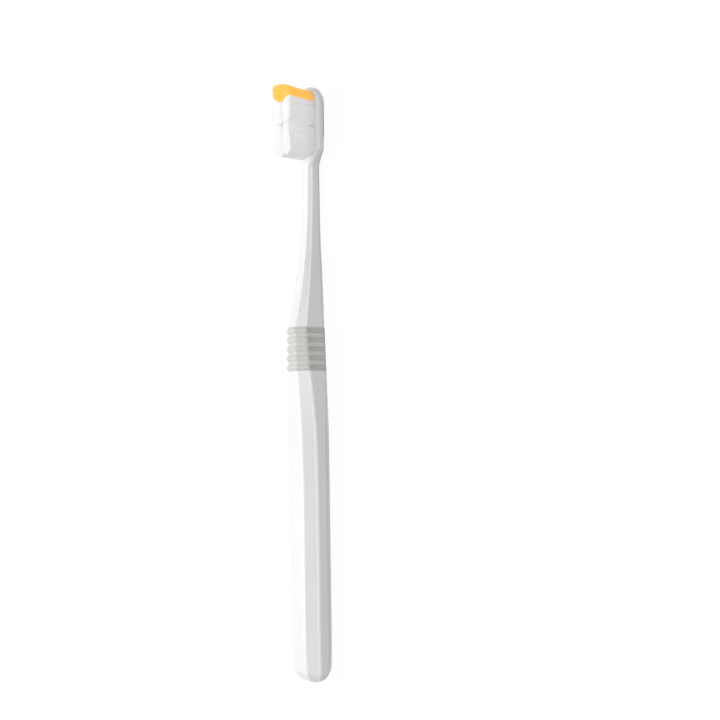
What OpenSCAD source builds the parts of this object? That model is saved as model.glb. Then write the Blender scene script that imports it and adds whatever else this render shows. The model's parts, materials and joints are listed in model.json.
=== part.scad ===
// Toothbrush with a faceted handle, a ribbed grip sleeve, a soft pad on the
// back of the head and shaped bristle tufts. It lies on its back.
// +X runs along the handle to the tip of the head, +Z is the bristle side.
// The middle of the overall length is at x = 0 and the resting face is z = 0.

/* [Overall] */
// Full length from the handle end to the tip of the head
total_len = 180; // [150:1:210]

/* [Handle] */
// Width across the two side facets
handle_w = 12.4; // [10:0.1:16]
// Thickness from the back facet to the front facet
handle_t = 10; // [8:0.1:13]
// Extra thickness of the front at the grip sleeve
handle_swell = 1.1; // [0:0.05:1.4]
// Length over which the front gains that thickness
swell_len = 55; // [30:1:60]
// Width of the front and back facets
front_facet = 6.6; // [5:0.1:8]
// Height of the side facets
side_facet = 3.6; // [2.4:0.1:5]
// Length taken off each side of a facet corner by its rounding
facet_round = 0.6; // [0.3:0.05:1]
// Rounding where the facets turn into the handle end
end_round = 3.3; // [1:0.1:3.6]
// Height of the shallow dome on the handle end
end_dome = 1; // [0.2:0.1:1.5]
// Length over which the handle narrows toward its end
toe_len = 14; // [4:0.5:20]
// Amount the front facet comes in at the handle end
toe_drop = 1; // [0:0.1:2]
// Length over which the facet lines turn toward the grip sleeve
turn_len = 31; // [20:1:40]
// Share of the width that the front facet takes at the grip sleeve
turn_front = 0.42; // [0.36:0.01:0.55]
// Share of the thickness that the side facet takes at the grip sleeve
turn_side = 0.58; // [0.36:0.01:0.62]

/* [Grip sleeve] */
// Distance from the handle end to the middle of the sleeve
sleeve_at = 99; // [70:0.5:110]
// Length of the sleeve along the handle
sleeve_len = 13.2; // [10:0.1:20]
// Thickness of the sleeve, which is the depth of its seat in the handle
sleeve_t = 1.1; // [0.8:0.05:1.8]
// Number of ribs across the front
rib_count = 5; // [3:1:8]
// Distance from one rib to the next
rib_pitch = 2.75; // [2.2:0.05:3.5]
// Height from the valley between two ribs to a rib top
rib_depth = 0.65; // [0.4:0.05:1.3]
// Part of the rib depth that stands above the handle
rib_proud = 0.45; // [0.2:0.05:0.9]

/* [Neck] */
// Distance from the handle end to the thinnest place of the neck
neck_at = 154; // [140:0.5:158]
// Width of the neck at its thinnest place
neck_w = 4.4; // [4:0.1:7]
// Thickness of the neck at its thinnest place
neck_t = 4.7; // [4:0.1:7]
// Height of the back of the neck above the resting face
neck_lift = 0.8; // [0:0.05:1.5]
// Length over which the width narrows from the handle to the neck
narrow_len = 80; // [50:1:90]
// Length over which the back rises to the neck
lift_len = 34; // [15:1:50]
// Share of the width that the front facet takes on the neck
neck_front = 0.64; // [0.5:0.01:0.75]
// Amount by which the neck turns from facets into an oval
neck_oval = 0.35; // [0:0.05:1]

/* [Head] */
// Length of the head from the shoulder to the tip
head_len = 25.2; // [20:0.5:32]
// Length of the shoulder that widens from the neck to the head
shoulder_len = 5.8; // [4:0.1:9]
// Width of the head
head_w = 11.6; // [9:0.1:14]
// Thickness of the head
head_t = 3.2; // [2.8:0.1:5]
// Height of the back of the head above the resting face
head_lift = 1.8; // [0.8:0.1:3]
// Rounding of the edges of the head
head_round = 1.3; // [0.5:0.05:1.5]

/* [Back pad] */
// Length of the soft pad on the back of the head
pad_len = 19.6; // [14:0.2:22]
// Width of the pad
pad_w = 10.2; // [7:0.1:11]
// Depth of the pad seat in the head
pad_seat = 0.7; // [0.4:0.05:1]
// Thickness of the pad below its ridges
pad_t = 0.8; // [0.5:0.05:1.1]
// Distance from the tip of the head to the pad
pad_tip_gap = 0.8; // [0.6:0.1:2]
// Number of crosswise ridges
ridge_count = 12; // [6:1:16]
// Width of a ridge, which stands up by half of it
ridge_w = 0.7; // [0.4:0.05:1]

/* [Bristle carrier] */
// Wall left around the pocket for the carrier plate
rim = 0.75; // [0.7:0.05:1.5]
// Thickness of the carrier plate
carrier_t = 1.1; // [0.8:0.05:1.6]
// Thickness of the fused bristle roots below the carrier plate
root_t = 0.5; // [0.3:0.05:0.8]
// Amount the fused roots reach past the bristles
root_lip = 0.15; // [0.1:0.05:0.24]

/* [Bristle tufts] */
// Length of the bristles above the head
bristle_len = 10; // [7:0.1:12]
// Width across the left and right tufts
field_w = 9; // [7:0.1:10]
// Slit between the left and right tufts
slit = 0.5; // [0.45:0.05:1]
// Distance from the tip of the head to the lower end of the tufts
field_end = 22.3; // [18:0.1:24]
// Length of the lower tufts
lower_len = 9; // [7:0.1:11]
// Groove between the lower and the upper tufts
groove = 0.6; // [0.45:0.05:1.2]
// Length of the upper tufts
upper_len = 7.6; // [5:0.1:8]
// Rounding of the tuft corners
tuft_round = 1.1; // [0.6:0.1:1.3]
// Rounding of the outer corner at the lower end
toe_round = 3.1; // [1:0.1:3.1]
// Depth of the hollow in the upper tufts that the tip tuft reaches into
hollow = 1.1; // [0:0.1:2]
// Distance from the tip of the head to the outside of the tip tuft
tip_inset = 1.4; // [1.1:0.1:2]
// Gap between the upper tufts and the tip tuft
tip_gap = 0.35; // [0.1:0.05:0.6]
// Amount the tip tuft spreads out at its free end
tip_spread = 0.7; // [0:0.1:1.1]
// Amount the free end of the tip tuft comes back at its sides
tip_bow = 0.9; // [0.3:0.1:2]
// Amount the free ends are lower along the slit than along the sides
dish = 1.3; // [0:0.1:2]
// Amount the upper tufts stay below the lower ones at the groove
upper_trim = 0.3; // [0:0.05:1]
// Amount the upper tufts and the tip tuft stay below the lower ones at the tip
tip_trim = 0.55; // [0:0.05:1]
// Height that the lower tufts lose toward the neck
lower_trim = 2.2; // [0:0.1:3]

/* [Fit] */
// Gap between a seat and the part in it
fit = 0.02; // [0.01:0.01:0.1]

/* [Hidden] */
eps = 0.01;
around = 48;
white = [0.96, 0.96, 0.96];
grey = [0.77, 0.77, 0.74];
bristle = [0.93, 0.94, 0.94];
orange = [1, 0.72, 0.3];

sleeve_lo = sleeve_at - sleeve_len / 2;
sleeve_hi = sleeve_at + sleeve_len / 2;
head_lo = total_len - head_len;
head_full = head_lo + shoulder_len;
head_r = head_w / 2;
head_mid = total_len - head_r;
head_top = head_lift + head_t;
pocket_lo = total_len - field_end - 0.9;
pocket_hi = total_len - rim;
pocket_z = head_top - carrier_t - root_t;
bristle_top = head_top + bristle_len;

// soft step from 0 to 1
function soft(t) = let (c = min(1, max(0, t))) c * c * (3 - 2 * c);
function mix(a, b, t) = a + (b - a) * t;

// outline of the body by distance u from the handle end

function neck_part(u) =
    min(1, max(0, (neck_at - u) / (neck_at - sleeve_hi)));

// 1 at the handle end and 0 past the length over which the handle ends taper
function toe_part(u) = pow(max(0, 1 - u / toe_len), 2);

// 0 on the handle and 1 from the middle of the sleeve on
function turn_part(u) = soft((u - sleeve_at + turn_len) / turn_len);

function head_half(u) =
    u <= head_mid ? head_r : sqrt(max(0.12, pow(head_r, 2) - pow(u - head_mid, 2)));

function half_w(u) =
    u <= head_lo
        ? mix(neck_w, handle_w, pow(soft((neck_at - u) / narrow_len), 1.6)) / 2
            - 0.35 * toe_drop * toe_part(u)
        : min(mix(neck_w / 2, head_r, soft((u - head_lo) / shoulder_len)), head_half(u));

function swell(u) = handle_swell * soft((u - sleeve_hi + swell_len) / swell_len);

// the top and bottom edges of the tip are rounded in side view
function tip_drop(u) =
    let (d = max(0, u - total_len + head_round))
    head_round - sqrt(max(0, pow(head_round, 2) - d * d));

function front_z(u) =
    u <= sleeve_hi ? handle_t + swell(u) - toe_drop * toe_part(u)
        : u <= head_lo ? mix(neck_lift + neck_t, handle_t + handle_swell,
                             pow(neck_part(u), 2.2))
        : mix(neck_lift + neck_t, head_top, soft((u - head_lo) / shoulder_len))
            - tip_drop(u);

function back_z(u) =
    u <= head_lo ? neck_lift * soft((u - sleeve_at - 1) / lift_len)
            + 0.35 * toe_drop * toe_part(u)
        : mix(neck_lift, head_lift, soft((u - head_lo) / shoulder_len)) + tip_drop(u);

// one point of a facet corner, rounded between two straight sides
function toward(a, b, d) = a + (b - a) * min(0.45, d / max(eps, norm(b - a)));
function curve(a, v, b, t) = a * pow(1 - t, 2) + v * 2 * t * (1 - t) + b * pow(t, 2);

// near the sleeve the front and back facets narrow and the side facets grow
function facet_corners(u, w, h) =
    let (turned = mix(front_facet / handle_w, turn_front, turn_part(u)),
         f = w * mix(turned, neck_front, soft((u - sleeve_hi) / 22)),
         g = h * mix(side_facet / handle_t, turn_side, turn_part(u)))
    [[w, g], [f, h], [-f, h], [-w, g], [-w, -g], [-f, -h], [f, -h], [w, -g]];

function facet_point(i, u, w, h) =
    let (c = facet_corners(u, w, h), k = floor(i / 6), t = (i % 6) / 5,
         v = c[k], d = facet_round * w * 2 / handle_w,
         a = toward(v, c[(k + 7) % 8], d), b = toward(v, c[(k + 1) % 8], d))
    curve(a, v, b, t);

function oval_point(i, w, h) =
    let (a = (i + 0.5) * 360 / around) [w * cos(a), h * sin(a)];

function plate_point(i, w, h) =
    let (q = floor(i / 12), a = q * 90 + (i % 12) * 90 / 11,
         r = min(head_round, w * 0.98, h * 0.98),
         sx = q == 0 || q == 3 ? 1 : -1, sy = q < 2 ? 1 : -1)
    [sx * (w - r) + r * cos(a), sy * (h - r) + r * sin(a)];

function neck_point(i, u, w, h) =
    mix(facet_point(i, u, w, h), oval_point(i, w, h),
        neck_oval * soft((u - sleeve_hi) / (neck_at - sleeve_hi)));

// the section changes from facets to a rounder neck and then to a flat head
function section_point(i, u, w, h) =
    u <= sleeve_hi ? facet_point(i, u, w, h)
        : u <= head_lo ? neck_point(i, u, w, h)
        : mix(neck_point(i, u, w, h), plate_point(i, w, h),
              soft((u - head_lo) / shoulder_len));

// a closed ring of points: [distance, inset from the full section]
function ring(u, inset) =
    let (w = half_w(u) - inset, z0 = back_z(u), z1 = front_z(u),
         h = (z1 - z0) / 2 - inset, m = (z0 + z1) / 2)
    [for (i = [0 : around - 1])
        let (p = section_point(i, u, w, h)) [u - total_len / 2, p.x, m + p.y]];

module skin(rings) {
    n = len(rings);
    points = [for (r = rings) each r];
    sides = [for (k = [0 : n - 2]) for (i = [0 : around - 1])
        let (j = (i + 1) % around, a = k * around, b = a + around)
        each [[a + i, b + i, b + j], [a + i, b + j, a + j]]];
    start = [for (i = [0 : around - 1]) i];
    finish = [for (i = [around - 1 : -1 : 0]) (n - 1) * around + i];
    polyhedron(points, concat([start], sides, [finish]), convexity = 6);
}

// stations of the body, as pairs of distance and inset
end_rings = concat(
    [for (k = [0 : 2]) let (t = k / 3)
        [end_dome * t * t, mix(min(handle_t, handle_w) * 0.39, end_round, t)]],
    [for (k = [0 : 6]) let (a = k * 15)
        [end_dome + end_round * (1 - cos(a)), end_round * (1 - sin(a))]]);

handle_rings = concat(
    [for (u = [end_dome + end_round + 1 : 2 : toe_len]) [u, 0]],
    [for (u = [toe_len + 2 : 9 : sleeve_at - 44]) [u, 0]],
    [for (k = [0 : 10]) [mix(sleeve_at - 40, sleeve_lo - 1.5, k / 10), 0]],
    [[sleeve_lo, 0], [sleeve_lo, sleeve_t]],
    [for (k = [1 : 3]) [sleeve_lo + sleeve_len * k / 4, sleeve_t]],
    [[sleeve_hi, sleeve_t], [sleeve_hi, 0]]);

neck_rings = [for (k = [1 : 26]) [sleeve_hi + (head_lo - sleeve_hi) * k / 26, 0]];

head_rings = concat(
    [for (k = [1 : 10]) [head_lo + shoulder_len * k / 10, 0]],
    [for (k = [1 : 3]) [mix(head_full, head_mid, k / 3), 0]],
    [for (k = [1 : 15]) [head_mid + head_r * sin(k * 6), 0]]);

module body_blank() {
    stations = concat(end_rings, handle_rings, neck_rings, head_rings);
    skin([for (s = stations) ring(s[0], s[1])]);
}

// the outline of the pocket in the front of the head, smaller by the gap
function pocket_half(u, gap) =
    u <= head_mid ? half_w(u) - rim - gap
        : sqrt(max(0, pow(head_r - rim - gap, 2) - pow(u - head_mid, 2)));

module pocket_outline(gap) {
    lo = pocket_lo + gap;
    hi = pocket_hi - gap;
    side = concat(
        [for (k = [0 : 12]) let (u = mix(lo, head_mid, k / 12)) [u, pocket_half(u, gap)]],
        [for (k = [1 : 11]) let (u = head_mid + (hi - head_mid) * sin(k * 7.5))
            [u, pocket_half(u, gap)]]);
    other = [for (k = [len(side) - 1 : -1 : 0]) [side[k].x, -side[k].y]];
    translate([-total_len / 2, 0])
        polygon(concat(side, [[hi, 0]], other));
}

module stadium(gap) {
    r = pad_w / 2 - gap;
    x1 = total_len / 2 - pad_tip_gap - pad_w / 2;
    x0 = x1 - pad_len + pad_w;
    union() {
        translate([x0, 0])
            circle(r, $fn = 64);
        translate([x1, 0])
            circle(r, $fn = 64);
        translate([x0, -r])
            square([x1 - x0, 2 * r]);
    }
}

module body() {
    color(white)
        difference() {
            body_blank();
            translate([0, 0, pocket_z])
                linear_extrude(20)
                    pocket_outline(0);
            translate([0, 0, head_lift + pad_seat - 4])
                linear_extrude(4)
                    stadium(0);
        }
}

// the sleeve follows the handle and its ribs fade out at the side facets
function rib_height(u) =
    rib_proud - rib_depth * (0.5 - 0.5 * cos(360 * (u - sleeve_at) / rib_pitch
        + (rib_count % 2 == 0 ? 180 : 0)));

function rib_reach(i) = soft((sin((i + 0.5) * 360 / around) + 0.15) / 0.5);

function rib_band(u) =
    soft((rib_count * rib_pitch / 2 + 0.05 - abs(u - sleeve_at)) / 0.05);

function sleeve_ring(u, gap) =
    let (z0 = back_z(u), z1 = front_z(u), m = (z0 + z1) / 2)
    [for (i = [0 : around - 1])
        let (d = rib_height(u) * rib_reach(i) * rib_band(u),
             p = section_point(i, u, half_w(u) + d, (z1 - z0) / 2 + d))
        [min(max(u, sleeve_lo + gap), sleeve_hi - gap) - total_len / 2, p.x, m + p.y]];

module tube_skin(rings) {
    n = len(rings);
    points = [for (r = rings) each r];
    sides = [for (k = [0 : n - 1]) for (i = [0 : around - 1])
        let (j = (i + 1) % around, a = k * around, b = ((k + 1) % n) * around)
        each [[a + i, b + i, b + j], [a + i, b + j, a + j]]];
    polyhedron(points, sides, convexity = 8);
}

module grip_sleeve() {
    steps = 36;
    outside = [for (k = [0 : steps]) sleeve_ring(mix(sleeve_lo, sleeve_hi, k / steps), fit)];
    inside = [for (k = [4 : -1 : 0])
        let (u = mix(sleeve_lo, sleeve_hi, k / 4), r = ring(u, sleeve_t - fit),
             x = min(max(u, sleeve_lo + fit), sleeve_hi - fit) - total_len / 2)
        [for (p = r) [x, p.y, p.z]]];
    color(grey)
        tube_skin(concat(outside, inside));
}

// the pad fills its seat in the back of the head, with ridges across it
module back_pad() {
    r = pad_w / 2;
    x1 = total_len / 2 - pad_tip_gap - r;
    x0 = x1 - pad_len + pad_w;
    z = head_lift + pad_seat - pad_t;
    pitch = (pad_len - 2.4) / (ridge_count - 1);
    color(grey)
        union() {
            translate([0, 0, z])
                linear_extrude(pad_t - fit)
                    stadium(fit);
            for (k = [0 : ridge_count - 1]) {
                x = x0 - r + 1.2 + k * pitch;
                over = max(0, x0 - x, x - x1);
                reach = sqrt(r * r - over * over) - 0.35;
                translate([x, 0, z])
                    rotate([90, 0, 0])
                        cylinder(h = 2 * reach, d = ridge_w, center = true, $fn = 24);
            }
        }
}

// tuft outlines, seen from the bristle side, as points of distance and side

function corner(cu, cs, r, from) =
    [for (k = [0 : 6]) let (a = from + k * 15) [cu + r * cos(a), cs + r * sin(a)]];

// a left tuft between two distances, with four corner roundings
function lobe(u0, u1, low_out, high_out, high_in, low_in, grow) =
    let (s0 = slit / 2 - grow, s1 = field_w / 2 + grow, a = u0 - grow, b = u1 + grow,
         p = low_out + grow, q = high_out + grow, r = high_in + grow, s = low_in + grow)
    concat(corner(b - q, s1 - q, q, 0), corner(a + p, s1 - p, p, 90),
           corner(a + s, s0 + s, s, 180), corner(b - r, s0 + r, r, 270));

lower_lo = total_len - field_end;
lower_hi = lower_lo + lower_len;
upper_lo = lower_hi + groove;
upper_hi = upper_lo + upper_len;

function lower_lobe(grow) =
    lobe(lower_lo, lower_hi, toe_round, tuft_round, tuft_round, tuft_round, grow);

// the edge of the upper tufts toward the tip, by the distance s from the slit
function edge(s) = upper_hi - hollow * (1 - pow(min(1, abs(s) / (field_w / 2)), 2));

function upper_lobe(grow) =
    let (s0 = slit / 2 - grow, s1 = field_w / 2 + grow, a = upper_lo - grow,
         p = tuft_round + grow, q = tuft_round * 0.6 + grow)
    concat(corner(edge(s1 - q) + grow - q, s1 - q, q, 0), corner(a + p, s1 - p, p, 90),
           corner(a + p, s0 + p, p, 180), corner(edge(s0 + q) + grow - q, s0 + q, q, 270),
           [for (k = [1 : 8]) let (s = mix(s0 + q, s1 - q, k / 9)) [edge(s) + grow, s]]);

// the tip tuft reaches into the hollow of the upper tufts
tip_r = head_r - tip_inset;
tip_step = max(0, upper_hi + tip_gap + 0.35 - head_mid);
tip_half = min(field_w / 2 - 0.25, sqrt(max(1, tip_r * tip_r - tip_step * tip_step)));

function tip_outline(grow) =
    let (r = tip_r + grow, half = tip_half + grow, a1 = asin(half / r))
    concat([for (k = [0 : 15]) let (a = mix(-a1, a1, k / 15))
                [head_mid + r * cos(a), r * sin(a)]],
           [for (k = [15 : -1 : 0]) let (s = r * sin(mix(-a1, a1, k / 15)))
                [edge(s) + tip_gap - grow, s]]);

// at its free end the tip tuft spreads out to a flatter edge
function tip_free() =
    let (a1 = asin(tip_half / tip_r))
    concat([for (k = [0 : 15]) let (s = tip_r * sin(mix(-a1, a1, k / 15)))
                [head_mid + tip_r + tip_spread - tip_bow * pow(s / tip_half, 2), s]],
           [for (k = [15 : -1 : 0]) let (s = tip_r * sin(mix(-a1, a1, k / 15)))
                [edge(s) + tip_gap, s]]);

module outline(points) {
    translate([-total_len / 2, 0])
        polygon(points);
}

// the cut of the free ends in side view
module trim() {
    n = 14;
    low = [for (k = [0 : n]) let (t = k / n)
        [mix(lower_lo - 1, lower_hi + groove / 2, t),
         bristle_top - lower_trim * pow(1 - t, 3)]];
    high = [[upper_lo - groove / 2 + 0.01, bristle_top - upper_trim],
            [upper_hi, bristle_top - tip_trim], [total_len + 2, bristle_top - tip_trim]];
    floor_z = pocket_z + fit;
    translate([-total_len / 2, 10, 0])
        rotate([90, 0, 0])
            linear_extrude(20)
                polygon(concat([[lower_lo - 1, floor_z]], low, high,
                               [[total_len + 2, floor_z]]));
}

// across the brush the free ends form a shallow valley along the slit
function dish_z(s) = bristle_top - dish * (1 - min(1, abs(s) / (field_w / 2)));

module valley() {
    half = field_w / 2;
    translate([lower_lo - 2 - total_len / 2, 0, 0])
        rotate([90, 0, 90])
            linear_extrude(head_len)
                polygon([[-half - 1, 0], [half + 1, 0], [half + 1, bristle_top + eps],
                         [half, bristle_top + eps], [0, bristle_top - dish],
                         [-half, bristle_top + eps], [-half - 1, bristle_top + eps]]);
}

module tuft(stem, root) {
    intersection() {
        union() {
            translate([0, 0, pocket_z])
                linear_extrude(20)
                    outline(stem);
            translate([0, 0, pocket_z])
                linear_extrude(root_t - fit)
                    outline(root);
        }
        trim();
        valley();
    }
}

module upper_left_tuft() {
    color(bristle)
        tuft(upper_lobe(0), upper_lobe(root_lip));
}

module lower_left_tuft() {
    color(bristle)
        tuft(lower_lobe(0), lower_lobe(root_lip));
}

module upper_right_tuft() {
    mirror([0, 1, 0])
        upper_left_tuft();
}

module lower_right_tuft() {
    mirror([0, 1, 0])
        lower_left_tuft();
}

// an outline at one height, as points in the frame of the brush
function level(z, outline) = [for (p = outline) [p.x - total_len / 2, p.y, z]];

// a solid through a stack of rings, whose first and second half face each other
module stack(rings) {
    n = len(rings[0]);
    count = len(rings);
    points = [for (r = rings) each r];
    sides = [for (k = [0 : count - 2]) for (i = [0 : n - 1])
        let (j = (i + 1) % n, a = k * n, b = a + n)
        each [[a + i, b + i, b + j], [a + i, b + j, a + j]]];
    low = [for (i = [0 : n / 2 - 2]) [i, i + 1, n - 2 - i, n - 1 - i]];
    m = (count - 1) * n;
    high = [for (q = low)
        each [[m + q[3], m + q[2], m + q[1]], [m + q[3], m + q[1], m + q[0]]]];
    polyhedron(points, concat(low, sides, high), convexity = 4);
}

module tip_tuft() {
    z0 = pocket_z + fit;
    z1 = pocket_z + root_t - fit;
    wide = tip_outline(root_lip);
    plain = tip_outline(0);
    free = [for (p = tip_free())
        [p.x - total_len / 2, p.y, min(bristle_top - tip_trim, dish_z(p.y))]];
    color(orange)
        stack([level(z0, wide), level(z1, wide), level(z1, plain),
               level(head_top, plain), free]);
}

// the plate that holds the tufts, with an opening for each of them
module carrier_plate() {
    color(white)
        difference() {
            translate([0, 0, head_top - carrier_t])
                linear_extrude(carrier_t)
                    pocket_outline(fit);
            translate([0, 0, head_top - carrier_t - 1])
                linear_extrude(carrier_t + 2) {
                    outline(upper_lobe(fit));
                    outline(lower_lobe(fit));
                    outline(tip_outline(fit));
                    mirror([0, 1])
                        outline(upper_lobe(fit));
                    mirror([0, 1])
                        outline(lower_lobe(fit));
                }
        }
}

body();
grip_sleeve();
back_pad();
carrier_plate();
tip_tuft();
upper_left_tuft();
upper_right_tuft();
lower_left_tuft();
lower_right_tuft();
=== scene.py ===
# %% [markdown]
# # A toothbrush on its back
#
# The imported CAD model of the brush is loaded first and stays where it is.
# Everything in this lesson is then built over it, in metres and in the same
# frame: +X runs along the handle to the tip of the head, +Z is the side of
# the bristles, and the brush rests on z = 0.

# %% Load the frame
import math
import json
import bpy
import bmesh
import numpy as np
from mathutils import Matrix, Vector

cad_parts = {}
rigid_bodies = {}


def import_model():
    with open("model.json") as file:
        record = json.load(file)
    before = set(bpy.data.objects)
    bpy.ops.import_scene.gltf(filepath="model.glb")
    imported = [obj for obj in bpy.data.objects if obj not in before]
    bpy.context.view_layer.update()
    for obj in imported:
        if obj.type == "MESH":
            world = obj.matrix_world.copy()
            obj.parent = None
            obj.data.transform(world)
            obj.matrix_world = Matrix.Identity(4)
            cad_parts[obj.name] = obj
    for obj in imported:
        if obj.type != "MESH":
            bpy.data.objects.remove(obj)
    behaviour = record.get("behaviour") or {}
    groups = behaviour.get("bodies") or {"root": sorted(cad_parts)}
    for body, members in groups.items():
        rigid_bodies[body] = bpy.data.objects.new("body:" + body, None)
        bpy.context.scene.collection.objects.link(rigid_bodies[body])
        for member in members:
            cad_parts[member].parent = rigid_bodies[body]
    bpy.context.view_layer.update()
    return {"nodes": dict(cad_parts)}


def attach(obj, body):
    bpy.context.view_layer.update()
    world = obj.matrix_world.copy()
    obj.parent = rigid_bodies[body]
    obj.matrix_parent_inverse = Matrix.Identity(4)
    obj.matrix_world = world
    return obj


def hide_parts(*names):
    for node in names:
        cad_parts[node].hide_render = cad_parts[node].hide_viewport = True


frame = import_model()
MM = 0.001
print("nodes:", sorted(frame["nodes"]))

# %% [markdown]
# ## The camera
#
# In the photograph the brush stands upright and is seen from the front and
# one side. A brush that lies on its back looks the same when the camera looks
# down on it and rolls by a quarter turn. The place and the axes come from
# points measured in the photograph, such as the corners of the facets and the
# ends of the grip sleeve.

# %% Place the camera
def turn_from_axes(right, up, back):
    """The rotation whose columns are the camera's right, up and back."""
    return Matrix((right, up, back)).transposed().to_4x4()


camera_data = bpy.data.cameras.new("camera")
camera_data.lens = 50.0
camera_data.sensor_width = 36.0
camera_data.clip_start = 0.01
camera = bpy.data.objects.new("camera", camera_data)
bpy.context.scene.collection.objects.link(camera)
camera.matrix_world = (
    Matrix.Translation(Vector((-0.01013, -0.24596, 0.18245)))
    @ turn_from_axes(Vector((-0.01564, -0.62535, -0.78019)),
                     Vector((0.99852, -0.05038, 0.02036)),
                     Vector((-0.05204, -0.77872, 0.62521))))
bpy.context.scene.camera = camera
print("camera at", [round(v, 4) for v in camera.location])

# %% [markdown]
# ## Sizes
#
# The pieces that are built here follow the sizes of the CAD model, in
# millimetres. Only the handle end is its own: END_LEN and END_TAPER round it
# off in one smooth curve. `u` is the distance from the handle end along the
# brush, `s` the distance to the side of its middle line, and `along` turns a
# distance `u` into a place in metres.

# %% The brush's sizes
TOTAL = 180.0
HANDLE_W, HANDLE_T, SWELL, SWELL_LEN = 12.4, 10.0, 1.1, 55.0
FRONT_FACET, SIDE_FACET, FACET_ROUND = 6.6, 3.6, 0.6
END_LEN, END_TAPER, END_FLAT = 4.1, 1.04, 0.2
TOE_LEN, TOE_DROP, TOE_SHARE = 14.0, 1.0, 0.35
TURN_LEN, TURN_FRONT, TURN_SIDE = 31.0, 0.42, 0.58
SLEEVE_AT, SLEEVE_LEN, SLEEVE_T = 99.0, 13.2, 1.1
RIB_PITCH, RIB_DEPTH, RIB_PROUD = 2.75, 0.65, 0.45
NECK_AT, NECK_W, NECK_T, NECK_LIFT = 154.0, 4.4, 4.7, 0.8
NARROW_LEN, LIFT_LEN, NECK_FRONT, NECK_OVAL = 80.0, 34.0, 0.64, 0.35
NARROW_CURVE, SLOPE_CURVE, FACET_BLEND = 1.6, 2.2, 22.0
HEAD_LEN, SHOULDER, HEAD_W, HEAD_T = 25.2, 5.8, 11.6, 3.2
HEAD_LIFT, HEAD_ROUND = 1.8, 1.3
PAD_LEN, PAD_W, PAD_SEAT, PAD_T, PAD_GAP = 19.6, 10.2, 0.7, 0.8, 0.8
RIDGES, RIDGE_W, RIDGE_MARGIN = 12, 0.7, 1.2
RIM, CARRIER_T, ROOT_T, ROOT_LIP, POCKET_GAP = 0.75, 1.1, 0.5, 0.15, 0.9
BRISTLE_LEN, FIELD_W, SLIT, FIELD_END = 10.0, 9.0, 0.5, 22.3
LOWER_LEN, GROOVE, UPPER_LEN = 9.0, 0.6, 7.6
TUFT_ROUND, TOE_ROUND, HOLLOW = 1.1, 3.1, 1.1
TIP_INSET, TIP_GAP, TIP_SPREAD, TIP_BOW = 1.4, 0.35, 0.7, 0.9
DISH, UPPER_TRIM, TIP_TRIM, LOWER_TRIM = 1.3, 0.3, 0.55, 2.2
FIT = 0.02

SLEEVE_LO, SLEEVE_HI = SLEEVE_AT - SLEEVE_LEN / 2, SLEEVE_AT + SLEEVE_LEN / 2
HEAD_LO = TOTAL - HEAD_LEN
HEAD_FULL = HEAD_LO + SHOULDER
HEAD_R = HEAD_W / 2
HEAD_MID = TOTAL - HEAD_R
HEAD_TOP = HEAD_LIFT + HEAD_T
POCKET_LO, POCKET_HI = TOTAL - FIELD_END - POCKET_GAP, TOTAL - RIM
POCKET_Z = HEAD_TOP - CARRIER_T - ROOT_T
BRISTLE_TOP = HEAD_TOP + BRISTLE_LEN


def along(u):
    return (u - TOTAL / 2) * MM


print("bristles end", BRISTLE_TOP, "mm above the floor")

# %% [markdown]
# ## Shader values as Python
#
# A material is a graph of nodes. This small class wraps one socket, so that
# `noise * 0.1 + 0.3` adds the two Math nodes and returns their result. Any
# other node comes from `Finish.node`, which takes the node's type, its
# settings and the values or links of its sockets.

# %% A socket that can be used in an expression
class Shade:
    def __init__(self, finish, socket):
        self.finish, self.socket = finish, socket

    def _math(self, operation, first, second):
        return self.finish.node("ShaderNodeMath", {"operation": operation},
                                {0: first, 1: second}, "Value")

    def __add__(self, other):
        return self._math("ADD", self, other)

    def __sub__(self, other):
        return self._math("SUBTRACT", self, other)

    def __rsub__(self, other):
        return self._math("SUBTRACT", other, self)

    def __mul__(self, other):
        return self._math("MULTIPLY", self, other)

    __radd__ = __add__
    __rmul__ = __mul__


class Finish:
    """A material under construction, with its node tree."""

    def __init__(self, name):
        self.material = bpy.data.materials.new(name)
        self.material.use_nodes = True
        self.tree = self.material.node_tree
        self.tree.nodes.clear()

    def node(self, kind, settings, inputs, output=0):
        made = self.tree.nodes.new(kind)
        for name, value in settings.items():
            setattr(made, name, value)
        for name, value in inputs.items():
            if isinstance(value, Shade):
                self.tree.links.new(value.socket, made.inputs[name])
            else:
                made.inputs[name].default_value = value
        return Shade(self, made.outputs[output])

    def noise(self, scale, detail=2.0, stretch=(1.0, 1.0, 1.0)):
        """Noise by place on the object; the scale is in features a metre."""
        place = self.node("ShaderNodeTexCoord", {}, {}, "Object")
        place = self.node("ShaderNodeVectorMath", {"operation": "MULTIPLY"},
                          {0: place, 1: stretch}, "Vector")
        return self.node("ShaderNodeTexNoise", {},
                         {"Vector": place, "Scale": scale, "Detail": detail}, "Fac")

    def tint(self, amount, first, second):
        """A colour between two others, by an amount from 0 to 1."""
        return self.node("ShaderNodeMix", {"data_type": "RGBA"},
                         {"Factor": amount, "A": first, "B": second}, 2)

    def bump(self, height, distance):
        return self.node("ShaderNodeBump", {},
                         {"Height": height, "Distance": distance}, "Normal")

    def surface(self, **sockets):
        """Ends the material in one Principled shader."""
        inputs = {name.replace("_", " "): value for name, value in sockets.items()}
        self.end(self.node("ShaderNodeBsdfPrincipled", {}, inputs, "BSDF"))
        return self.material

    def end(self, shader):
        out = self.tree.nodes.new("ShaderNodeOutputMaterial")
        self.tree.links.new(shader.socket, out.inputs["Surface"])


print("shader helpers are ready")

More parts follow.
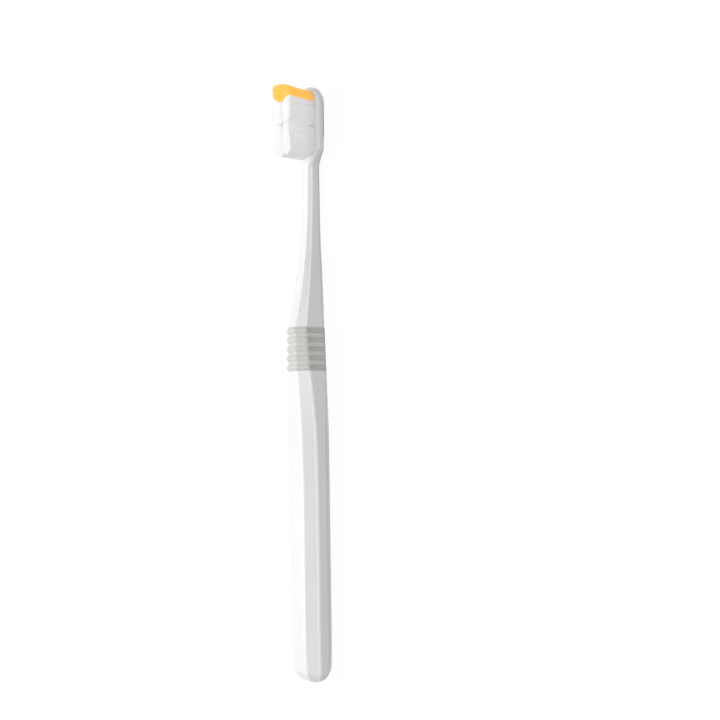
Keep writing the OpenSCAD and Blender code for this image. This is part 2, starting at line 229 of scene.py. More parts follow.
# %% [markdown]
# ## White handle plastic
#
# The handle, neck and head are one polypropylene moulding with a polished
# skin. It is almost one colour, so the life is in the gloss: the roughness
# drifts a little from place to place, as handling leaves it, and a very fine
# bump breaks up the reflections. A bump is enough because the unevenness of a
# moulding is far thinner than its outline. The front corners of the side facets
# get a paler version of the same finish: a painted highlight, the bright line
# that their rounded edges catch from a low lamp.

# %% White plastic
def make_white_plastic(name, dark, light):
    finish = Finish(name)
    drift = finish.noise(60.0)
    grain = finish.noise(2600.0, detail=3.0)
    return finish.surface(
        Base_Color=finish.tint(drift, dark, light),
        Roughness=drift * 0.10 + 0.14,
        Normal=finish.bump(grain, 0.000004),
        IOR=1.49)


white_plastic = make_white_plastic("white_plastic", (0.825, 0.825, 0.82, 1),
                                   (0.85, 0.85, 0.85, 1))
# painted highlight: a paler copy of the white plastic for the rounded front corners of the side
# facets
painted_highlight_plastic = make_white_plastic("painted_highlight_plastic", (0.955, 0.955, 0.95, 1),
                                    (0.975, 0.975, 0.975, 1))
print("made", white_plastic.name, "and", painted_highlight_plastic.name)

# %% [markdown]
# ## Soft grey rubber
#
# The grip sleeve and the pad on the head are thermoplastic rubber. Its mould
# is spark-eroded, which leaves a fine matte pebble, so a noise of about a
# tenth of a millimetre drives both the bump and the roughness. The pad is the
# darker of the two.

# %% Grey rubber
def make_rubber(name, dark, light):
    finish = Finish(name)
    pebble = finish.noise(9000.0, detail=2.0)
    patch = finish.noise(140.0)
    return finish.surface(
        Base_Color=finish.tint(patch, dark, light),
        Roughness=pebble * 0.2 + 0.42,
        Normal=finish.bump(pebble, 0.000012),
        IOR=1.48)


sleeve_rubber = make_rubber("sleeve_rubber", (0.61, 0.615, 0.58, 1), (0.65, 0.655, 0.62, 1))
pad_rubber = make_rubber("pad_rubber", (0.42, 0.425, 0.395, 1), (0.46, 0.465, 0.435, 1))
print("made", sleeve_rubber.name, "and", pad_rubber.name)

# %% [markdown]
# ## Bristles
#
# Each filament is modelled, so the material only needs the small difference
# from one filament to the next. A noise that is stretched along the filament
# gives that: it changes quickly across the tuft and hardly at all up it.
# Light wanders from one clear filament to the next, which makes a tuft
# brighter than solid rods would be. A weak glow in the same colour, a painted
# glow, stands in for that light and lightens the shade between the filaments
# and in the gaps between tufts.

# %% Bristle finishes
def make_bristle(name, dark, light, rough, glow):
    finish = Finish(name)
    strand = finish.noise(5200.0, detail=1.0, stretch=(1.0, 1.0, 0.03))
    wide = finish.noise(900.0, detail=1.0, stretch=(1.0, 1.0, 0.05))
    colour = finish.tint(strand * 0.6 + wide * 0.4, dark, light)
    return finish.surface(
        Base_Color=colour,
        Roughness=strand * 0.15 + rough,
        Emission_Color=colour,
        # painted glow: emission in the filament's own colour lightens the shade in the tufts
        Emission_Strength=glow,
        IOR=1.5)


white_filament = make_bristle("white_filament", (0.92, 0.925, 0.93, 1),
                              (0.985, 0.985, 0.985, 1), 0.35, 0.135)
orange_filament = make_bristle("orange_filament", (1.0, 0.52, 0.09, 1),
                               (1.0, 0.70, 0.19, 1), 0.35, 0.3)
print("made", white_filament.name, "and", orange_filament.name)

# %% [markdown]
# ## From numbers to a mesh
#
# The handle and the sleeve are skins over a row of rings. Every ring has the
# same number of points, so each point joins the same point of the next ring
# and the surface needs no other bookkeeping. `shade` makes a piece smooth and
# keeps the real edges sharp; `finish_piece` says what it rides on and what it
# replaces.

# %% Mesh helpers
def new_piece(name, points, faces, material):
    mesh = bpy.data.meshes.new(name)
    mesh.from_pydata([tuple(p) for p in points], [], faces)
    mesh.materials.append(material)
    mesh.update()
    piece = bpy.data.objects.new(name, mesh)
    bpy.context.scene.collection.objects.link(piece)
    return piece


def shade(piece, sharp_angle=32.0):
    """Smooth shading, with the edges that turn more than an angle kept sharp."""
    work = bmesh.new()
    work.from_mesh(piece.data)
    bmesh.ops.remove_doubles(work, verts=work.verts, dist=1e-8)
    bmesh.ops.recalc_face_normals(work, faces=work.faces)
    for face in work.faces:
        face.smooth = True
    for edge in work.edges:
        edge.smooth = edge.calc_face_angle(math.pi) < math.radians(sharp_angle)
    work.to_mesh(piece.data)
    work.free()


def finish_piece(piece, node):
    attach(piece, "root")
    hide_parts(node)
    print(piece.name, len(piece.data.vertices), "points",
          len(piece.data.polygons), "faces")


def ring_faces(count, around, closed=False):
    faces = []
    for k in range(count if closed else count - 1):
        a, b = k * around, ((k + 1) % count) * around
        faces += [(a + i, b + i, b + (i + 1) % around, a + (i + 1) % around)
                  for i in range(around)]
    return faces


# %% [markdown]
# ## The outline of the moulding
#
# A toothbrush handle is moulded in one shot, so its outline is one flowing
# line. Short functions say how wide the brush is and where its front and back
# are at each distance `u`. Curves drawn by hand could do the same, but the
# functions keep the sizes above in charge. `soft` eases from one part of the
# brush to the next.

# %% Width, front and back along the brush
def soft(t):
    t = min(1.0, max(0.0, t))
    return t * t * (3 - 2 * t)


def mix(a, b, t):
    return a + (b - a) * t


def neck_part(u):
    return min(1.0, max(0.0, (NECK_AT - u) / (NECK_AT - SLEEVE_HI)))


def toe_part(u):
    """How much of the toe's drop there is, from 1 at the end to 0."""
    return max(0.0, 1 - u / TOE_LEN) ** 2


def turn_part(u):
    """How far the facets have turned to the shape that they have at the sleeve."""
    return soft((u - SLEEVE_AT + TURN_LEN) / TURN_LEN)


def head_half(u):
    if u <= HEAD_MID:
        return HEAD_R
    return math.sqrt(max(0.12, HEAD_R ** 2 - (u - HEAD_MID) ** 2))


def half_w(u):
    if u <= HEAD_LO:
        wide = soft((NECK_AT - u) / NARROW_LEN) ** NARROW_CURVE
        return mix(NECK_W, HANDLE_W, wide) / 2 - TOE_SHARE * TOE_DROP * toe_part(u)
    return min(mix(NECK_W / 2, HEAD_R, soft((u - HEAD_LO) / SHOULDER)), head_half(u))


def tip_drop(u):
    d = max(0.0, u - TOTAL + HEAD_ROUND)
    return HEAD_ROUND - math.sqrt(max(0.0, HEAD_ROUND ** 2 - d * d))


def front_z(u):
    if u <= SLEEVE_HI:
        return (HANDLE_T + SWELL * soft((u - SLEEVE_HI + SWELL_LEN) / SWELL_LEN)
                - TOE_DROP * toe_part(u))
    if u <= HEAD_LO:
        return mix(NECK_LIFT + NECK_T, HANDLE_T + SWELL, neck_part(u) ** SLOPE_CURVE)
    return mix(NECK_LIFT + NECK_T, HEAD_TOP, soft((u - HEAD_LO) / SHOULDER)) - tip_drop(u)


def back_z(u):
    if u <= HEAD_LO:
        return (NECK_LIFT * soft((u - SLEEVE_AT - 1) / LIFT_LEN)
                + TOE_SHARE * TOE_DROP * toe_part(u))
    return mix(NECK_LIFT, HEAD_LIFT, soft((u - HEAD_LO) / SHOULDER)) + tip_drop(u)


print("width of the neck:", round(2 * half_w(NECK_AT), 2), "mm")

# %% [markdown]
# ## One section
#
# The handle is an octagon with rounded corners, the neck a softer octagon and
# the head a flat plate. A section has 64 points, 8 to a facet corner. The first
# and last of each 8 lie a little way onto the flats. They hold the shading of
# the flats still, so that a smooth-shaded facet looks flat and only its
# rounded edge shines. A bevel on a plain octagon would give the same edge, but
# it couldn't change into the neck and the head without a seam.

# %% Points of a section
AROUND = 64
HOLD = 0.05  # how far onto a flat the first and last point of a corner lie


def facet_points(u, w, h):
    turned = mix(FRONT_FACET / HANDLE_W, TURN_FRONT, turn_part(u))
    f = w * mix(turned, NECK_FRONT, soft((u - SLEEVE_HI) / FACET_BLEND))
    g = h * mix(SIDE_FACET / HANDLE_T, TURN_SIDE, turn_part(u))
    corners = np.array([(w, g), (f, h), (-f, h), (-w, g),
                        (-w, -g), (-f, -h), (f, -h), (w, -g)])
    reach = FACET_ROUND * w * 2 / HANDLE_W
    points = []
    for k, v in enumerate(corners):
        ways = []
        for other in (corners[k - 1], corners[(k + 1) % 8]):
            length = np.linalg.norm(other - v)
            ways.append(((other - v) / length, min(0.42 * length, reach)))
        (da, la), (db, lb) = ways
        a, b = v + da * la, v + db * lb
        points.append(a + da * HOLD)
        points += [a * (1 - t) ** 2 + v * 2 * t * (1 - t) + b * t * t
                   for t in np.linspace(0, 1, 6)]
        points.append(b + db * HOLD)
    return np.array(points)


def oval_points(w, h):
    a = (np.arange(AROUND) + 0.5) * 2 * math.pi / AROUND
    return np.stack([w * np.cos(a), h * np.sin(a)], 1)


def plate_points(w, h):
    r = min(HEAD_ROUND, w * 0.98, h * 0.98)
    points = []
    for q, (sx, sy) in enumerate(((1, 1), (-1, 1), (-1, -1), (1, -1))):
        a = np.radians(q * 90 + np.linspace(0, 90, AROUND // 4))
        points.append(np.stack([sx * (w - r) + r * np.cos(a),
                                sy * (h - r) + r * np.sin(a)], 1))
    return np.concatenate(points)


def section(u, w, h):
    if u <= SLEEVE_HI:
        return facet_points(u, w, h)
    t = NECK_OVAL * soft((u - SLEEVE_HI) / (NECK_AT - SLEEVE_HI))
    neck = mix(facet_points(u, w, h), oval_points(w, h), t)
    if u <= HEAD_LO:
        return neck
    return mix(neck, plate_points(w, h), soft((u - HEAD_LO) / SHOULDER))


def ring(u, inset=0.0):
    """One ring of the body, smaller by the inset, in metres."""
    z0, z1 = back_z(u), front_z(u)
    flat = section(u, half_w(u) - inset, (z1 - z0) / 2 - inset)
    return [(along(u), p[0] * MM, ((z0 + z1) / 2 + p[1]) * MM) for p in flat]


print("a section has", len(ring(50.0)), "points")

# %% [markdown]
# ## The moulded body
#
# The handle, neck and head come out of one mould. The handle end rounds off
# in an oval, a little more pointed than a true one. Under the sleeve the body
# steps in to leave a seat, as a part that is overmoulded does. The rings are
# closer together where the shape turns quickly. The faces of the two front
# corners get the paler plastic, a painted highlight along those rounded edges,
# as far as the head.

# %% Skin the body
def body_stations():
    """Each ring's distance along the brush and how far it is drawn in."""
    end_inset = (front_z(0) - back_z(0)) / 2 - END_FLAT
    turn = [math.radians(a) for a in range(0, 91, 5)]
    rows = [(END_LEN * (1 - max(0.0, math.cos(a)) ** END_TAPER),
             end_inset * (1 - math.sin(a) ** END_TAPER)) for a in turn]
    rows += [(u, 0.0) for u in np.arange(END_LEN + 0.3, TOE_LEN, 0.8)]
    rows += [(u, 0.0) for u in np.arange(TOE_LEN + 1, SLEEVE_LO - 0.5, 2.5)]
    rows += [(SLEEVE_LO - 0.25, 0.0), (SLEEVE_LO - 0.05, 0.0), (SLEEVE_LO, 0.05)]
    rows += [(mix(SLEEVE_LO, SLEEVE_HI, k / 4), SLEEVE_T) for k in range(5)]
    rows += [(SLEEVE_HI, 0.05), (SLEEVE_HI + 0.05, 0.0), (SLEEVE_HI + 0.25, 0.0)]
    rows += [(mix(SLEEVE_HI, HEAD_LO, k / 60), 0.0) for k in range(1, 61)]
    rows += [(HEAD_LO + SHOULDER * k / 24, 0.0) for k in range(1, 25)]
    rows += [(mix(HEAD_FULL, HEAD_MID, k / 8), 0.0) for k in range(1, 9)]
    rows += [(HEAD_MID + HEAD_R * math.sin(math.radians(a)), 0.0)
             for a in np.linspace(3, 90, 30)]
    return rows


body_rows = body_stations()
rings = [ring(u, inset) for u, inset in body_rows]
points = [p for r in rings for p in r]
faces = ring_faces(len(rings), AROUND)
faces.append(tuple(range(AROUND)))
faces.append(tuple((len(rings) - 1) * AROUND + i for i in reversed(range(AROUND))))
body = new_piece("brush_body", points, faces, white_plastic)
body.data.materials.append(painted_highlight_plastic)
# painted highlight: these corner faces, up to the head, take the paler plastic
painted_highlight_corners = [k * 8 + i for k in (0, 3) for i in range(1, 6)]
before_head = AROUND * sum(u < HEAD_LO for u, inset in body_rows)
for face in body.data.polygons[:before_head]:
    face.material_index = int(face.index % AROUND in painted_highlight_corners)
print("rings in the body:", len(rings))

# %% [markdown]
# ## Seats in the head
#
# The bristle carrier is welded into a pocket in the front of the head, and
# the soft pad is moulded into a shallow seat in its back. Both could be drawn
# into the rings, but a Boolean cut with a straight-sided block keeps their
# edges crisp, as the mould does.

# %% Cut the pocket and the pad seat
def block(outline, z0, z1, start=0):
    """A straight-sided block's points and faces; its first point is number start."""
    n = len(outline)
    points = [(along(u), s * MM, z * MM) for z in (z0, z1) for u, s in outline]
    faces = [(i, (i + 1) % n, n + (i + 1) % n, n + i) for i in range(n)]
    faces += [tuple(reversed(range(n))), tuple(range(n, 2 * n))]
    return points, [tuple(start + i for i in face) for face in faces]


def pocket_half(u):
    if u <= HEAD_MID:
        return half_w(u) - RIM
    return math.sqrt(max(0.0, (HEAD_R - RIM) ** 2 - (u - HEAD_MID) ** 2))


def pocket_outline():
    round_end = [HEAD_MID + (POCKET_HI - HEAD_MID) * math.sin(math.radians(a))
                 for a in range(5, 90, 5)]
    side = [(u, pocket_half(u)) for u in
            list(np.linspace(POCKET_LO, HEAD_MID, 25)) + round_end]
    return side + [(POCKET_HI, 0.0)] + [(u, -s) for u, s in reversed(side)]


def stadium(r, u0, u1):
    """A round-ended outline between two end centres."""
    a = np.radians(np.linspace(-90, 90, 33))
    return ([(u1 + r * math.cos(t), r * math.sin(t)) for t in a]
            + [(u0 - r * math.cos(t), -r * math.sin(t)) for t in a])


PAD_U1 = TOTAL - PAD_GAP - PAD_W / 2
PAD_U0 = PAD_U1 - PAD_LEN + PAD_W
CLEAR = 2.0  # how far a cutter stands out of the head
cutters = [
    new_piece("pocket_cutter", *block(pocket_outline(), POCKET_Z, HEAD_TOP + CLEAR), white_plastic),
    new_piece("seat_cutter", *block(stadium(PAD_W / 2, PAD_U0, PAD_U1),
                                    -CLEAR, HEAD_LIFT + PAD_SEAT), white_plastic)]
shade(body)  # a cut needs faces that point outward
for cutter in cutters:
    shade(cutter)
    cut = body.modifiers.new(cutter.name, "BOOLEAN")
    cut.operation, cut.solver, cut.object = "DIFFERENCE", "EXACT", cutter
shape = bpy.data.meshes.new_from_object(
    body.evaluated_get(bpy.context.evaluated_depsgraph_get()))
body.modifiers.clear()
body.data = shape
for cutter in cutters:
    bpy.data.objects.remove(cutter)
shade(body)
work = bmesh.new()
work.from_mesh(body.data)
print("volume of the moulding:", round(work.calc_volume() * 1e9), "mm3")
work.free()
finish_piece(body, "body")

# %% [markdown]
# ## The grip sleeve
#
# The sleeve is rubber moulded over the seat in the handle. Five ribs run
# across the front and fade out over the side facets, and the back is flush
# with the handle. It is one closed tube: an outer row of rings with the ribs,
# then the seat's rings back the other way. A displacement could raise the
# ribs too, but the rings follow the wave of a rib exactly.

# %% Skin the sleeve
def rib_height(u):
    wave = math.cos(2 * math.pi * (u - SLEEVE_AT) / RIB_PITCH)
    return RIB_PROUD - RIB_DEPTH * (0.5 - 0.5 * wave)


def sleeve_x(u):
    return along(min(max(u, SLEEVE_LO + FIT), SLEEVE_HI - FIT))


def sleeve_ring(u):
    z0, z1 = back_z(u), front_z(u)
    w, h = half_w(u), (z1 - z0) / 2
    base = section(u, w, h)
    proud = section(u, w + rib_height(u), h + rib_height(u))
    angle = (np.arange(AROUND) + 0.5) * 2 * math.pi / AROUND
    reach = np.array([soft((math.sin(a) + 0.15) / 0.5) for a in angle])[:, None]
    flat = base * (1 - reach) + proud * reach
    return [(sleeve_x(u), p[0] * MM, ((z0 + z1) / 2 + p[1]) * MM) for p in flat]


STEPS = 132
outside = [sleeve_ring(mix(SLEEVE_LO, SLEEVE_HI, k / STEPS)) for k in range(STEPS + 1)]
inside = []
for k in range(4, -1, -1):
    u = mix(SLEEVE_LO, SLEEVE_HI, k / 4)
    inside.append([(sleeve_x(u), y, z) for _, y, z in ring(u, SLEEVE_T - FIT)])
rows = outside + inside
sleeve = new_piece("grip_sleeve_ribbed", [p for r in rows for p in r],
                   ring_faces(len(rows), AROUND, closed=True), sleeve_rubber)
shade(sleeve, 50.0)
finish_piece(sleeve, "grip_sleeve")

# %% [markdown]
# ## The pad on the back of the head
#
# The back of the head carries a soft rubber pad with ridges for the tongue or
# the cheek. The ridges are part of the pad, so the pad is built as strips
# across the head: each strip is a flat bar whose lower edge follows the height
# of the ridges. Where a ridge meets the edge of the pad it runs out. Separate
# half-round bars would be simpler, but the pad would then not be one skin.

# %% Build the ridged pad
def pad_half(u):
    over = max(0.0, PAD_U0 - u, u - PAD_U1)
    return math.sqrt(max(0.01, (PAD_W / 2 - FIT) ** 2 - over * over))


def ridge_height(u):
    first = PAD_U0 - PAD_W / 2 + RIDGE_MARGIN
    pitch = (PAD_LEN - 2 * RIDGE_MARGIN) / (RIDGES - 1)
    k = min(RIDGES - 1, max(0, round((u - first) / pitch)))
    d = abs(u - first - k * pitch) / (RIDGE_W / 2)
    return RIDGE_W / 2 * math.sqrt(max(0.0, 1 - d * d))


ACROSS = 20
STRIP = 0.07
pad_low = HEAD_LIFT + PAD_SEAT - PAD_T
pad_high = HEAD_LIFT + PAD_SEAT - FIT
lo, hi = PAD_U0 - PAD_W / 2 + FIT, PAD_U1 + PAD_W / 2 - FIT
ends = [lo + 0.5 * (1 - math.cos(math.radians(a))) for a in range(0, 90, 9)]
stations = ends + list(np.arange(lo + 0.55, hi - 0.5, STRIP))
stations += [hi + lo - u for u in reversed(ends)]
rows = []
for u in stations:
    half = pad_half(u)
    row = []
    for s in np.linspace(-1, 1, ACROSS):
        fade = soft((half * (1 - abs(s)) - 0.15) / 0.5)
        row.append((along(u), s * half * MM, (pad_low - ridge_height(u) * fade) * MM))
    row += [(along(u), half * MM, pad_high * MM), (along(u), -half * MM, pad_high * MM)]
    rows.append(row)
width = ACROSS + 2
faces = ring_faces(len(rows), width)
faces.append(tuple(reversed(range(width))))
faces.append(tuple((len(rows) - 1) * width + i for i in range(width)))
pad = new_piece("head_pad_ridged", [p for r in rows for p in r], faces, pad_rubber)
shade(pad, 60.0)
finish_piece(pad, "back_pad")

# %% [markdown]
# ## The carrier plate
#
# The plate that holds the bristles sits in the pocket of the head. It could
# be built again from the pocket's outline and the tufts', but its CAD solid
# already has the right shape, so it stays and only gets the white plastic.

# %% Dress the carrier plate
carrier = frame["nodes"]["carrier_plate"]
carrier.data.materials.clear()
carrier.data.materials.append(white_plastic)
print("carrier plate keeps", len(carrier.data.polygons), "faces")

# %% [markdown]
# ## Outlines of the tufts
#
# The brush has two tufts on each side of a slit and one across the tip. Each
# tuft's outline is a closed row of points, seen from above, made of arcs and
# short curves. `grow` widens an outline all round, which the fused roots need.

# %% Outlines of the tufts
LOWER_LO = TOTAL - FIELD_END
LOWER_HI = LOWER_LO + LOWER_LEN
UPPER_LO = LOWER_HI + GROOVE
UPPER_HI = UPPER_LO + UPPER_LEN


def corner(cu, cs, r, start):
    a = np.radians(start + np.arange(0, 91, 15))
    return [(cu + r * math.cos(t), cs + r * math.sin(t)) for t in a]


def lower_lobe(grow=0.0):
    s0, s1, a, b = SLIT / 2 - grow, FIELD_W / 2 + grow, LOWER_LO - grow, LOWER_HI + grow
    r, toe = TUFT_ROUND + grow, TOE_ROUND + grow
    return (corner(b - r, s1 - r, r, 0) + corner(a + toe, s1 - toe, toe, 90)
            + corner(a + r, s0 + r, r, 180) + corner(b - r, s0 + r, r, 270))


def edge(s):
    """The edge of the upper tufts toward the tip, hollow around the slit."""
    return UPPER_HI - HOLLOW * (1 - np.minimum(1, np.abs(s) / (FIELD_W / 2)) ** 2)


def upper_lobe(grow=0.0):
    s0, s1, a = SLIT / 2 - grow, FIELD_W / 2 + grow, UPPER_LO - grow
    p, q = TUFT_ROUND + grow, TUFT_ROUND * 0.6 + grow
    return (corner(edge(s1 - q) + grow - q, s1 - q, q, 0) + corner(a + p, s1 - p, p, 90)
            + corner(a + p, s0 + p, p, 180) + corner(edge(s0 + q) + grow - q, s0 + q, q, 270)
            + [(edge(s) + grow, s) for s in np.linspace(s0 + q, s1 - q, 10)[1:-1]])


TIP_R = HEAD_R - TIP_INSET
TIP_STEP = max(0.0, UPPER_HI + TIP_GAP + 0.35 - HEAD_MID)
TIP_HALF = min(FIELD_W / 2 - 0.25, math.sqrt(TIP_R ** 2 - TIP_STEP ** 2))


def tip_low(s, grow=0.0):
    """The tip tuft's edge toward the upper tufts."""
    return edge(s) + TIP_GAP - grow


def tip_high(s, grow=0.0):
    """The tip tuft's round edge, toward the end of the head."""
    return HEAD_MID + np.sqrt(np.maximum(0.0, (TIP_R + grow) ** 2 - s * s))


def tip_outline(grow=0.0):
    sides = np.linspace(-TIP_HALF - grow, TIP_HALF + grow, 41)
    return ([(tip_high(s, grow), s) for s in sides]
            + [(tip_low(s, grow), s) for s in reversed(sides)])


def flip(outline):
    """The same outline on the other side of the brush."""
    return [(u, -s) for u, s in reversed(outline)]


print("upper tufts end at", round(UPPER_HI, 2), "and the tip tuft at", round(float(tip_high(0.0)), 2))

# %% [markdown]
# ## Where filaments stand
#
# Real tufts hold thousands of filaments. They are set out on a close
# triangular grid inside each tuft's outline, each moved a little at random,
# with a fixed seed so that every run is the same. A plain block with a
# stripy material would look right from afar only.

# %% Spread filaments over an outline
PITCH = 0.165
SCATTER = 0.13 * PITCH


def inside_outline(points, outline):
    poly = np.array(outline)
    hit = np.zeros(len(points), bool)
    for (u0, s0), (u1, s1) in zip(poly, np.roll(poly, -1, 0)):
        crosses = (s0 > points[:, 1]) != (s1 > points[:, 1])
        if s0 != s1:
            at = u0 + (points[:, 1] - s0) / (s1 - s0) * (u1 - u0)
            hit ^= crosses & (points[:, 0] < at)
    return hit


def set_out(outline, rng):
    """Filament places in an outline, on a triangular grid with some scatter."""
    poly = np.array(outline)
    low, high = poly.min(0), poly.max(0)
    rows = np.arange(low[1], high[1], PITCH * math.sqrt(0.75))
    places = []
    for k, s in enumerate(rows):
        us = np.arange(low[0] + (k % 2) * PITCH / 2, high[0], PITCH)
        places.append(np.stack([us, np.full(len(us), s)], 1))
    places = np.concatenate(places)
    places += rng.normal(0, SCATTER, places.shape)
    return places[inside_outline(places, outline)]


trial = set_out(lower_lobe(), np.random.default_rng(0))
print("a lower tuft has room for about", len(trial), "filaments")

# %% [markdown]
# ## The trim
#
# The free ends are cut to a shape in side view and to a shallow dish across
# the brush, and no two end quite alike. One function gives the height of the
# free end for any foot, so neighbouring tufts always agree.

# %% Height of the free ends
def free_end(u, s):
    """Height of the free ends: the trim in side view and the dish across."""
    lower_mid = LOWER_HI + GROOVE / 2
    short = np.clip(1 - (u - LOWER_LO + 1) / (lower_mid - LOWER_LO + 1), 0, 1)
    low = BRISTLE_TOP - LOWER_TRIM * short ** 3
    t = (u - UPPER_LO + GROOVE / 2) / (UPPER_HI - UPPER_LO + GROOVE / 2)
    high = BRISTLE_TOP - mix(UPPER_TRIM, TIP_TRIM, np.clip(t, 0, 1))
    dish = BRISTLE_TOP - DISH * (1 - np.minimum(1, np.abs(s) / (FIELD_W / 2)))
    return np.minimum(dish, np.where(u < lower_mid, low, high))


print("free ends beside the slit:", round(float(free_end(UPPER_LO, 0.0)), 2), "mm up")

# %% [markdown]
# ## Filaments
#
# One filament is a four-sided rod that narrows over its last part to a fine
# end, as soft bristles are ground. Blender's hair could draw them faster, but
# hair has no faces to export. All the rods of a tuft are one mesh, together
# with the fused root that holds them under the carrier plate. `lean` says how
# far the free ends move sideways.

# %% Build one tuft
FILAMENT_R = 0.09
UNEVEN = 0.16  # how far a free end may fall short of the trim
SWAY = 0.035
LEVELS = np.array([0.0, 0.45, 0.80, 0.93, 1.0])
WIDTHS = np.array([1.0, 1.0, 0.95, 0.72, 0.34])
PLATE_BACK = HEAD_TOP - CARRIER_T


def rod_points(feet, lean, rng):
    """The corners of every rod at every level, in metres."""
    count = len(feet)
    tops = free_end(feet[:, 0], feet[:, 1]) - rng.uniform(0.0, UNEVEN, count)
    sway = rng.normal(0, SWAY, (count, 2))
    spin = rng.uniform(0, math.pi / 2, count)
    points = np.zeros((count, len(LEVELS), 4, 3))
    for k, (level, width) in enumerate(zip(LEVELS, WIDTHS)):
        z = PLATE_BACK + (tops - PLATE_BACK) * level
        rise = np.clip((z - HEAD_TOP) / BRISTLE_LEN, 0, 1)
        middle = feet + sway * (rise ** 2)[:, None] + lean(feet) * rise[:, None]
        for side in range(4):
            a = spin + side * math.pi / 2
            points[:, k, side, 0] = middle[:, 0] - TOTAL / 2 + FILAMENT_R * width * np.cos(a)
            points[:, k, side, 1] = middle[:, 1] + FILAMENT_R * width * np.sin(a)
            points[:, k, side, 2] = z
    return points.reshape(-1, 3) * MM


def rod_faces():
    """The faces of one rod: its sides, and last its two ends."""
    last = len(LEVELS) * 4 - 4
    sides = [(k + i, k + (i + 1) % 4, k + 4 + (i + 1) % 4, k + 4 + i)
             for k in range(0, last, 4) for i in range(4)]
    return np.array(sides + [(last, last + 1, last + 2, last + 3), (3, 2, 1, 0)])


def build_tuft(name, outline, root, lean, seed, material):
    rng = np.random.default_rng(seed)
    feet = set_out(outline, rng)
    points = rod_points(feet, lean, rng)
    one = rod_faces()
    shift = np.arange(len(feet)) * len(LEVELS) * 4
    faces = (one[None] + shift[:, None, None]).reshape(-1, 4)
    root_points, root_faces = block(root, POCKET_Z + FIT, PLATE_BACK - FIT, len(points))
    piece = new_piece(name, list(points) + root_points, faces.tolist() + root_faces, material)
    for face in piece.data.polygons:
        on_side = face.index % len(one) < len(one) - 2
        face.use_smooth = face.index < len(faces) and on_side
    print(name, "has", len(feet), "filaments")
    return piece


print("a filament has", len(rod_faces()), "faces")

# %% [markdown]
# ## How the tufts lean
#
# Bristles spread where nothing holds them. The free ends lean over the slit
# and the grooves, the upper tufts nod toward the tip at their sides, and the
# tip tuft fans out. Bending each tuft with a modifier would move its roots
# too, so the lean is worked out for each foot.

# %% Lean of the free ends
NOD, SPLAY, FAN = 0.5, 0.2, 1.08
PUSH, SKEW = 0.15, 0.28


def nod(s):
    """How far the bristles on both sides of the upper gap lean to the tip."""
    return NOD * np.clip((np.abs(s) - 1.5) / 2.5, 0, 1) + 0.1 * s


def splay(feet):
    """The free ends beside a slit or a groove lean a little over it."""
    low, high = feet.min(0), feet.max(0)
    place = (feet - (low + high) / 2) / ((high - low) / 2)
    shift = SPLAY * place ** 5
    if high[0] > UPPER_LO + 1:
        shift[:, 0] += nod(feet[:, 1]) * np.clip(place[:, 0], 0, 1) ** 2
    return shift


def spread(feet):
    """The tip tuft fans out to a flatter edge and to both sides."""
    u, s = feet[:, 0], feet[:, 1]
    low, high = tip_low(s), tip_high(s)
    reach = np.clip((u - low) / np.maximum(high - low, 0.1), 0, 1)
    end = HEAD_MID + TIP_R + TIP_SPREAD - TIP_BOW * (s / TIP_HALF) ** 2 + PUSH + SKEW * s
    return np.stack([mix(low + nod(s), end, reach) - u, s * FAN - s], 1)


print("the upper tufts nod by up to", round(float(nod(FIELD_W / 2)), 2), "mm")

# %% [markdown]
# ## The five tufts
#
# The left and right tufts are mirror images in outline, but each has its own
# seed, because no two real tufts match. The tip tuft is the orange one.

# %% Make the five tufts
tufts = [
    ("lower_left", lower_lobe(), lower_lobe(ROOT_LIP), splay, 11, white_filament),
    ("lower_right", flip(lower_lobe()), flip(lower_lobe(ROOT_LIP)), splay, 12, white_filament),
    ("upper_left", upper_lobe(), upper_lobe(ROOT_LIP), splay, 13, white_filament),
    ("upper_right", flip(upper_lobe()), flip(upper_lobe(ROOT_LIP)), splay, 14, white_filament),
    ("tip", tip_outline(-0.05), tip_outline(ROOT_LIP), spread, 15, orange_filament)]
for part, outline, root, lean, seed, material in tufts:
    piece = build_tuft(part + "_filaments", outline, root, lean, seed, material)
    colour = "orange_bristles" if part == "tip" else "white_bristles"
    finish_piece(piece, part + "_tuft")

# %% [markdown]
# ## Floor
#
# The floor is a wide pale sheet just under the brush. The camera, and what
# shines, see it nearly white, with a trace of the shadow. For the light that
# it bounces back up it is dark grey, so the underside of the brush keeps its
# shade as it does in the photograph.

# %% Lay the floor
SHADOW = 0.03  # how much of the shadow on the paper the camera sees
FLOOR_HALF = 3.0
PAPER_Z = -0.0001


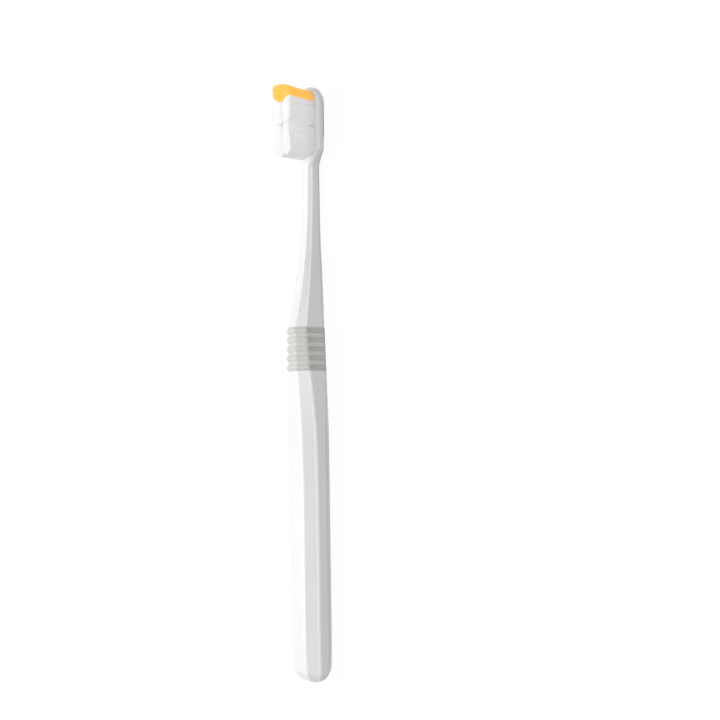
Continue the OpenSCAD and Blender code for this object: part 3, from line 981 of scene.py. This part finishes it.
def make_floor():
    finish = Finish("floor_paper")
    seen = finish.node("ShaderNodeLightPath", {}, {}, "Is Camera Ray")
    shiny = finish.node("ShaderNodeLightPath", {}, {}, "Is Glossy Ray")
    through = finish.node("ShaderNodeLightPath", {}, {}, "Is Transmission Ray")
    seen = finish.node("ShaderNodeMath", {"operation": "MAXIMUM"}, {0: seen, 1: shiny})
    seen = finish.node("ShaderNodeMath", {"operation": "MAXIMUM"}, {0: seen, 1: through})
    glow = finish.node("ShaderNodeEmission", {}, {"Color": (1, 1, 1, 1), "Strength": 1.0})
    pale = finish.node("ShaderNodeBsdfDiffuse", {}, {"Color": (0.97, 0.97, 0.97, 1)})
    grey = finish.node("ShaderNodeBsdfDiffuse", {}, {"Color": (0.06, 0.06, 0.06, 1)})
    bright = finish.node("ShaderNodeMixShader", {}, {0: SHADOW, 1: glow, 2: pale})
    finish.end(finish.node("ShaderNodeMixShader", {}, {0: seen, 1: grey, 2: bright}))
    return finish.material


corners = [(x * FLOOR_HALF, y * FLOOR_HALF, PAPER_Z)
           for x, y in ((-1, -1), (1, -1), (1, 1), (-1, 1))]
floor = new_piece("floor", corners, [(0, 1, 2, 3)], make_floor())
print("floor", 2 * FLOOR_HALF, "m wide")

# %% [markdown]
# ## Light
#
# The photograph is lit from the bristle side: the front facet is nearly
# white, each facet round toward the back is a step darker, and the rounded
# edge that faces the camera carries a thin bright line. A soft lamp above and
# behind the brush gives the steps, a low strip beside the camera helps the
# line, and a pale world fills the shade.

# %% Lamps and world
def area_lamp(name, place, target, size, power, size_y=None):
    data = bpy.data.lights.new(name, "AREA")
    data.energy = power
    data.size = size
    if size_y:
        data.shape, data.size_y = "RECTANGLE", size_y
    lamp = bpy.data.objects.new(name, data)
    lamp.location = place
    lamp.rotation_euler = (Vector(target) - Vector(place)).to_track_quat("-Z", "Y").to_euler()
    bpy.context.scene.collection.objects.link(lamp)
    return lamp


area_lamp("overhead", (0.0, 0.8, 1.39), (0.0, 0.0, 0.0), 1.0, 18.5)
# the thin bright line on the front corners is partly this strip's reflection and partly the painted
# highlight of the paler corner plastic
area_lamp("low_strip", (0.0, -1.2, 0.2), (0.0, 0.0, 0.01), 1.4, 5.3, 0.16)

world = bpy.data.worlds.new("studio")
world.use_nodes = True
world.node_tree.nodes["Background"].inputs["Color"].default_value = (1.0, 1.0, 1.0, 1)
world.node_tree.nodes["Background"].inputs["Strength"].default_value = 0.57
bpy.context.scene.world = world
bpy.context.scene.view_settings.view_transform = "Standard"
